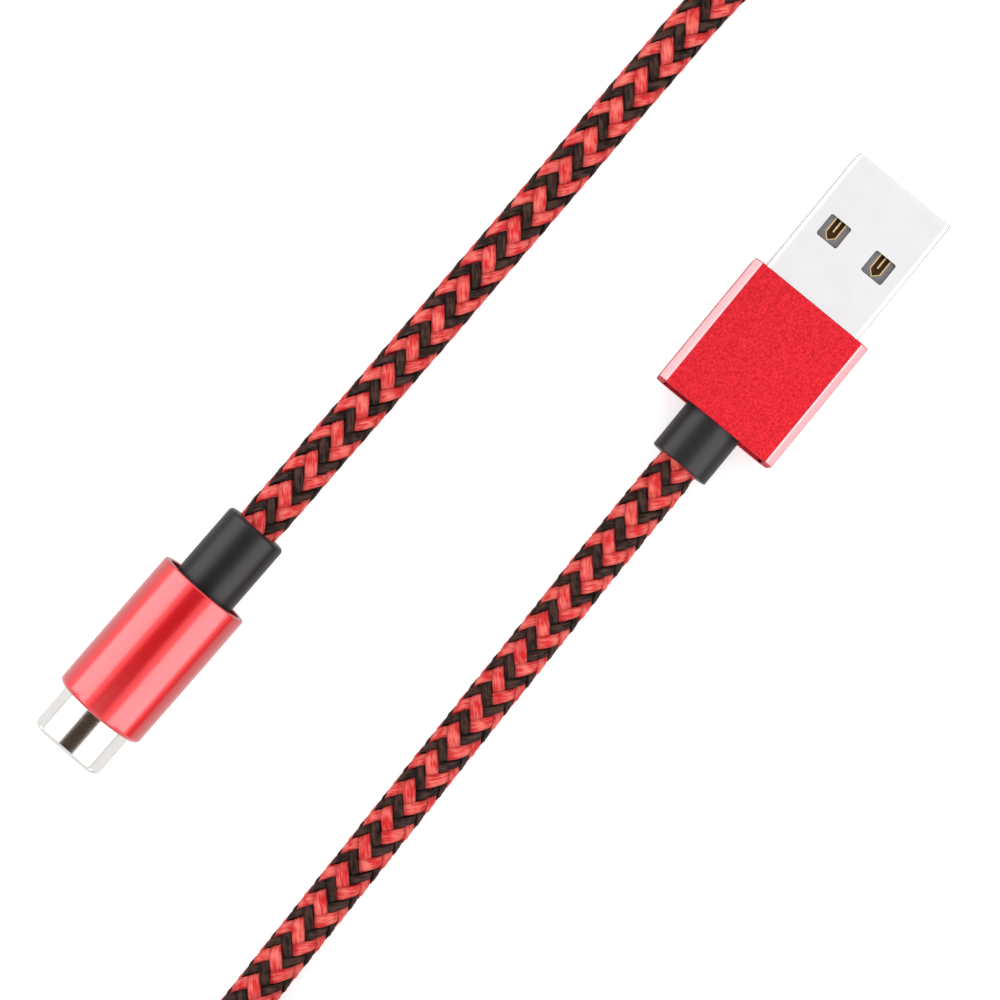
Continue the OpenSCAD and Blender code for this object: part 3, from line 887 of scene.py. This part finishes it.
def new_material(name, values):
    """A material whose shader sockets hold these values, each named with _ for a space"""
    made = bpy.data.materials.new(name)
    made.use_nodes = True
    shader = made.node_tree.nodes["Principled BSDF"]
    for socket, value in values.items():
        shader.inputs[socket.replace("_", " ")].default_value = value
    return made, made.node_tree, shader


def mixed(tree, amount, dark, light):
    """A colour between two hex codes"""
    mix = add_node(tree, "Mix", {0: amount, 6: colour(dark), 7: colour(light)}, data_type="RGBA")
    return mix.outputs[2]


def raise_by(tree, shader, height, depth):
    """Raise the surface by a pattern this many millimetres deep"""
    bump = add_node(tree, "Bump", {"Height": height, "Distance": depth * MM})
    tree.links.new(bump.outputs[0], shader.inputs["Normal"])


def grained(name, dark, light, grain, depth, stretch=(1, 1, 1), turn=0, **values):
    """A finish with a grain this many millimetres across and this deep, between two tints"""
    made, tree, shader = new_material(name, values)
    coords = add_node(tree, "TexCoord").outputs["Object"]
    place = add_node(tree, "Mapping", {"Vector": coords, "Rotation": (0, 0, turn), "Scale": stretch},
                     vector_type="TEXTURE")
    noise = add_node(tree, "TexNoise", {"Vector": place.outputs[0], "Scale": 1 / (grain * MM), "Detail": 2.0})
    spread = add_node(tree, "MapRange", {0: noise.outputs[0], 1: 0.3, 2: 0.7})
    tree.links.new(mixed(tree, spread.outputs[0], dark, light), shader.inputs["Base Color"])
    raise_by(tree, shader, noise.outputs[0], depth)
    return made


# %% [markdown]
# ## Metal finishes
# Both red metals are aluminium, dyed in an oxide layer that is clear and hard, so each is a coloured metal
# under a coat. The housing is bead-blasted first, which gives a fine frost. The barrel is turned and only
# brushed, so its highlights run along it. A metal keeps the default IOR; the coat is alumina.

# %% Metals
ALUMINA_IOR = 1.76
frosted_red = grained("aluminium_blasted_red_anodised", "#AE1B26", "#D22F38", 0.22, 0.03,
                      Metallic=1, Roughness=0.55)
cut_edge = grained("aluminium_diamond_cut_edge", "#C89497", "#D09DA0", 0.3, 0.003,
                   Metallic=1, Roughness=0.45)
PLUG_C_TURN = math.atan2(USB_C.to_3x3().col[0].y, USB_C.to_3x3().col[0].x)
satin_red = grained("aluminium_brushed_red_anodised", "#C60815", "#D00C19", 0.06, 0.0015,
                    stretch=(14, 1, 14), turn=PLUG_C_TURN, Metallic=1, Roughness=0.42, Coat_Weight=1,
                    Coat_Roughness=0.2, Coat_IOR=ALUMINA_IOR)
bright_nickel = grained("steel_nickel_plated", "#F1EFF0", "#F6F5F6", 3.0, 0.0, Metallic=1, Roughness=0.2)
drawn_nickel = grained("steel_polished_nickel_plated", "#DAD7D4", "#DFDCD9", 1.5, 0.0, Metallic=1,
                       Roughness=0.03)
gold = grained("contact_gold_plated", "#C6A56C", "#EDD5A6", 0.12, 0.002, Metallic=1, Roughness=0.25)
# Painted shade for the inside of the contact troughs: a dark brown where the pocket lies in shadow
trough_painted_shade = grained("contact_trough_painted_shade", "#472912", "#764B22", 0.15, 0.004, Metallic=0.3, Roughness=0.55)
tin = grained("solder_tin", "#A9ABAD", "#C9CBCC", 0.25, 0.03, Metallic=1, Roughness=0.32)
crimped = grained("crimp_tinned_steel", "#9EA1A4", "#BDC0C2", 0.3, 0.01, Metallic=1, Roughness=0.38)

# %% [markdown]
# ## Plastics and rubber
# Moulded plastic takes the fine matt of its tool. The collars are soft PVC and scatter light more widely.

# %% Plastics
black_rubber = grained("rubber_matt_black", "#131011", "#1A1617", 0.22, 0.01, Roughness=0.35, IOR=1.5,
                       Specular_IOR_Level=0.27)
braid_end_black = grained("nylon_sleeve_end", "#22130F", "#4E3833", 0.4, 0.03, Roughness=0.6)
black_plastic = grained("nylon_moulded_black", "#1C1B1C", "#262526", 0.2, 0.008, Roughness=0.45, IOR=1.53)
grey_plastic = grained("nylon_moulded_grey", "#6E6A6D", "#7C787A", 0.2, 0.006, Roughness=0.5, IOR=1.53)
filler = grained("polyethylene_moulded", "#2A2829", "#353334", 0.5, 0.02, Roughness=0.55, IOR=1.51)
jacket_pvc = grained("pvc_jacket_black", "#1A1718", "#242021", 0.3, 0.01, Roughness=0.5, IOR=1.53)
chip_black = grained("epoxy_chip_black", "#151517", "#222225", 0.1, 0.004, Roughness=0.4, IOR=1.55)
board_green = grained("circuit_board_solder_mask", "#1B5A34", "#257043", 0.4, 0.01, Roughness=0.3, IOR=1.5)
wire_tints = {"red": ("#B3202A", "#C42F38"), "white": ("#DEDCD8", "#EEEDEA"),
              "green": ("#1F7A42", "#2B8C50"), "black": ("#17171A", "#232326")}
wire_pvc = {tint: grained(f"pvc_wire_{tint}", dark, light, 0.3, 0.006, Roughness=0.42, IOR=1.53)
            for tint, (dark, light) in wire_tints.items()}

# %% [markdown]
# ## Braid yarn
# Each strand is three nylon yarns side by side, and each yarn is a bundle of fine filaments: a noise that is
# stretched along the strand in its UV map. A real filament is 0.03 mm thick, too fine to show, so the bundles
# here are 0.17 mm across. Nylon's fuzz catches light at the edges, which is the sheen.

# %% Yarn
THREAD_W, THREAD_L, THREAD_RELIEF = 0.17, 1.6, 0.08
PATCH = 1.2     # size of the lighter and darker patches


def yarn(name, deep, dark, light, **values):
    """Yarn with filaments between two tints, and a darker tint painted in as shade where the strand dips
    under its neighbours and at its edges
    """
    made, tree, shader = new_material(name, values)
    coords = add_node(tree, "UVMap", uv_map="thread").outputs[0]
    place = add_node(tree, "Mapping", {"Vector": coords, "Scale": (1 / THREAD_W, 1 / THREAD_L, 1)})
    threads = add_node(tree, "TexNoise", {"Vector": place.outputs[0], "Scale": 1, "Detail": 3.0,
                                          "Distortion": 0.4}, noise_dimensions="2D").outputs[0]
    patches = add_node(tree, "TexNoise", {"Vector": coords, "Scale": 1 / PATCH, "Detail": 1.0},
                       noise_dimensions="2D").outputs[0]
    both = add_node(tree, "Math", {0: patches, 1: 0.8, 2: threads}, operation="MULTIPLY_ADD").outputs[0]
    spread = add_node(tree, "MapRange", {0: both, 1: 0.72, 2: 1.08})
    # The attribute's painted shade mixes in the darker first tint
    tuck_shade = add_node(tree, "Attribute", attribute_name="tuck_shade").outputs["Fac"]
    open_yarn = mixed(tree, spread.outputs[0], dark, light)
    shaded = add_node(tree, "Mix", {0: tuck_shade, 6: open_yarn, 7: colour(deep)}, data_type="RGBA")
    tree.links.new(shaded.outputs[2], shader.inputs["Base Color"])
    raise_by(tree, shader, threads, THREAD_RELIEF)
    return made


# The first tint of each yarn is the painted shade between the strands
red_yarn = yarn("nylon_yarn_red", "#9C0C12", "#DC1A20", "#FF7A6E", Roughness=0.5, Specular_IOR_Level=0.15,
                Sheen_Weight=0.04, Sheen_Roughness=0.4)
black_yarn = yarn("nylon_yarn_black", "#080403", "#1A0C08", "#52362E", Roughness=0.55,
                  Specular_IOR_Level=0.08)

# %% [markdown]
# ## Strap webbing
# The strap is plain-woven nylon, so two waves at right angles, 0.5 mm apart, raise its threads.

# %% Webbing
WEB_PITCH, WEB_RELIEF = 0.5, 0.12


def webbing():
    made, tree, shader = new_material("nylon_webbing_black", {"Roughness": 0.7, "Sheen Weight": 0.3})
    coords = add_node(tree, "TexCoord").outputs["Object"]
    place = add_node(tree, "Mapping", {"Vector": coords, "Rotation": (0, 0, math.radians(STRAP_TURN))},
                     vector_type="TEXTURE").outputs[0]
    scale = 2 * math.pi / (20 * WEB_PITCH * MM)  # a wave of scale 1 is a twentieth of a turn long
    wave = {"Vector": place, "Scale": scale, "Distortion": 0.3, "Detail Scale": 2.0}
    warp, weft = (add_node(tree, "TexWave", wave, bands_direction=axis).outputs[1] for axis in "XY")
    weave = add_node(tree, "Math", {0: warp, 1: weft}, operation="MULTIPLY").outputs[0]
    tree.links.new(mixed(tree, weave, "#121112", "#2C2A2B"), shader.inputs["Base Color"])
    raise_by(tree, shader, weave, WEB_RELIEF)
    return made


black_webbing = webbing()
print("materials:", len(bpy.data.materials))

# %% [markdown]
# ## Finish for every piece
# New pieces and the CAD nodes that stay each get the material of their real finish, apart from the painted
# shade inside the contact troughs and between the braid's strands.

# %% Give the materials out
def give(piece, *finishes):
    """Fill the piece's material places in order, adding places where it has too few"""
    places = piece.data.materials
    for k, finish in enumerate(finishes):
        if k < len(places):
            places[k] = finish
        else:
            places.append(finish)


finishes = {
    **{braid: (red_yarn, black_yarn) for braid in braids}, jacket: (jacket_pvc,),
    housing: (frosted_red, cut_edge), shell: (bright_nickel,), contacts: (gold, trough_painted_shade),
    collar_a: (black_rubber,), collar_c: (black_rubber,), barrel: (satin_red,), nose: (drawn_nickel,),
    strap: (black_webbing,), board: (board_green, chip_black),
}
for piece, its_finishes in finishes.items():
    give(piece, *its_finishes)
kept_finish = {
    "tongue": grey_plastic, "solder": tin, "inner_moulding": filler, "crimp": crimped,
    "jacket_end": jacket_pvc, "face_insert": black_plastic, "insulator": black_plastic,
    "contacts_upper": gold, "contacts_lower": gold, "latch": drawn_nickel, "ground_pads": drawn_nickel,
    "braid_end": braid_end_black,
    **{f"wire_{tint}": finish for tint, finish in wire_pvc.items()},
}
for name, finish in kept_finish.items():
    for plug in ("usb_a_", "usb_c_"):
        if plug + name in bpy.data.objects:
            give(bpy.data.objects[plug + name], finish)

# %% [markdown]
# ## Table, light and flag
# The cable lies on a white light table: the floor glows a little, so that it stays white under the cord. The
# studio is a white tent, a little greyer overhead. Two strip lights along the barrel and a black card high
# above it give its long highlights and the dark line between them. The nose has cards of its own: a white one
# over it, a thin brown one in the middle of that, and one on each side. Lights and cards act on gloss only,
# so they don't change how bright the matt surfaces are.

# %% Table and tent
GLOW, GLOW_ON_OTHERS = 0.55, 0.1  # what the camera sees, and what lights the cable
TABLE_Z = -0.17 * MM     # the sleeve's crowns stand a little out of the cord's own diameter


def add_floor():
    begin()
    bpy.ops.mesh.primitive_plane_add(size=3, location=(0, 0, TABLE_Z))
    floor = bpy.context.object
    floor.name = "table_top"
    made, tree, shader = new_material("acrylic_opal_white", {
        "Base Color": colour("#E6E6E6"), "Roughness": 0.9, "Specular IOR Level": 0.0,
        "Emission Color": (1, 1, 1, 1)})
    seen = add_node(tree, "LightPath").outputs["Is Camera Ray"]
    glow = add_node(tree, "MapRange", {0: seen, 3: GLOW_ON_OTHERS, 4: GLOW})
    tree.links.new(glow.outputs[0], shader.inputs["Emission Strength"])
    give(floor, made)


def add_tent():
    world = bpy.data.worlds.new("white_tent")
    world.use_nodes = True
    tree = world.node_tree
    ray = add_node(tree, "TexCoord").outputs["Generated"]
    height = add_node(tree, "SeparateXYZ", {0: ray}).outputs[2]
    shade = add_node(tree, "MapRange", {0: height, 1: 0.8, 2: 1.0, 3: 1.12, 4: 0.94}).outputs[0]
    tree.links.new(shade, tree.nodes["Background"].inputs["Strength"])
    tree.nodes["Background"].inputs["Color"].default_value = (1, 1, 1, 1)
    bpy.context.scene.world = world
    bpy.context.scene.view_settings.view_transform = "Standard"


add_floor()
add_tent()

# %% Strip lights and black card
FLAG_HEIGHT, WHITE_ABOVE = 0.1, 0.002
BLACK_HALF_W, BROWN_HALF_W, WHITE_HALF_W, SIDE_HALF_H = 0.034, 0.00125, 0.014, 0.006
BLACK_PAST, NOSE_PAST, SIDE_PAST = 9, 1, 2    # how far the cards run past the metal, in millimetres
SIDE_GAP, SIDE_UP = 3, 2
WHITE_GLOW, SIDE_GLOW = 1.5, 1.12
STRIP_ANGLE, STRIP_AWAY, STRIP_SIZE, STRIP_RADIANCE = math.radians(59), 0.15, (0.14, 0.26), 3.0


def mirror_place(point, height):
    """Where the camera's ray goes after a level mirror at this point, at a height above it"""
    away = point - camera.location
    return point + Vector((away.x, away.y, -away.z)) * height / -away.z


def only_gloss(light):
    """Seen in reflections alone"""
    light.visible_camera = light.visible_diffuse = light.visible_transmission = light.visible_shadow = False


def add_card(name, places, half_width, code, glow=0, tilt=0):
    """A card of this colour along a line from one place to another"""
    begin()
    start, end = places
    middle, line = (start + end) / 2, end - start
    bpy.ops.mesh.primitive_plane_add(size=1, location=middle, rotation=(tilt, 0, math.atan2(line.y, line.x)))
    card = bpy.context.object
    card.scale = (line.length, 2 * half_width, 1)
    bpy.ops.object.transform_apply(location=True, rotation=True, scale=True)
    card.name = name
    made, tree, shader = new_material(name, {"Base Color": colour(code), "Specular IOR Level": 0.0,
                                             "Emission Color": (1, 1, 1, 1), "Emission Strength": glow})
    give(card, made)
    only_gloss(card)


def add_strip(name, centre, target, size, radiance):
    """An area light aimed at a point; its power follows from its radiance and area"""
    begin()
    bpy.ops.object.light_add(type="AREA", location=centre)
    light = bpy.context.object
    light.name = name
    light.data.shape = "RECTANGLE"
    light.data.size, light.data.size_y = size
    light.data.energy = radiance * math.pi * size[0] * size[1]
    look = (target - centre).normalized()
    along_plug = USB_C.to_3x3().col[1].normalized()
    across = look.cross(along_plug).normalized()
    turn = Matrix((across, -look.cross(across).normalized(), -look)).transposed()
    light.rotation_euler = turn.to_euler()
    only_gloss(light)


barrel_low, barrel_high = span("usb_c_barrel", USB_C)
nose_high = span("usb_c_nose", USB_C)[1]
barrel_top = [USB_C @ Vector((0, y, barrel_high.z)) for y in (barrel_low.y - BLACK_PAST, barrel_high.y)]
nose_top = [USB_C @ Vector((0, y, nose_high.z)) for y in (barrel_high.y, nose_high.y + NOSE_PAST)]
over_nose = [mirror_place(p, FLAG_HEIGHT) for p in nose_top]
above_that = [mirror_place(p, FLAG_HEIGHT + WHITE_ABOVE) for p in nose_top]
add_card("black_card", [mirror_place(p, FLAG_HEIGHT) for p in barrel_top], BLACK_HALF_W, "#000000")
add_card("brown_card", over_nose, BROWN_HALF_W, "#4A382D")
add_card("white_card", above_that, WHITE_HALF_W, "#FFFFFF", WHITE_GLOW)
barrel_middle = USB_C @ Vector((0, (barrel_low.y + barrel_high.y) / 2, 0))
for side, hand in ((-1, "left"), (1, "right")):
    beside = [USB_C @ Vector((side * (nose_high.x + SIDE_GAP), y, SIDE_UP))
              for y in (barrel_high.y + 0.2, nose_high.y + SIDE_PAST)]
    add_card(f"side_card_{hand}", beside, SIDE_HALF_H, "#000000", SIDE_GLOW, math.pi / 2)
for side, hand in ((-1, "left"), (1, "right")):
    out = USB_C.to_3x3().col[0].normalized() * side
    aside = out * math.sin(STRIP_ANGLE) + Vector((0, 0, math.cos(STRIP_ANGLE)))
    centre = barrel_middle + STRIP_AWAY * aside
    add_strip(f"strip_light_{hand}", centre, barrel_middle, STRIP_SIZE, STRIP_RADIANCE)

# %% [markdown]
# ## Riding and replacing
# Everything rides on the one body. Each new piece says which CAD nodes it stands for, and those nodes are
# hidden.

# %% Ride and replace
# Each piece's slot, and then the CAD nodes that it stands for
roles = {
    **{braid: ["braid_red_black"] for braid in braids},
    housing: ["red_anodised_frosted", "usb_a_housing"], shell: ["nickel_shell", "usb_a_shell"],
    contacts: ["gold_contact", "usb_a_contacts"], collar_a: ["black_rubber", "usb_a_strain_relief"],
    collar_c: ["black_rubber", "usb_c_strain_relief"], barrel: ["red_anodised_satin", "usb_c_barrel"],
    nose: ["nickel_nose", "usb_c_nose"], board: ["circuit_board", "usb_c_board", "usb_c_resistor"],
    strap: ["strap_black", "cord_tie"], jacket: ["jacket_pvc", "cord_run_a", "cord_coil", "cord_run_c"],
}
for piece, (slot, *names) in roles.items():
    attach(piece, "root")
    if names:
        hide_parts(*names)
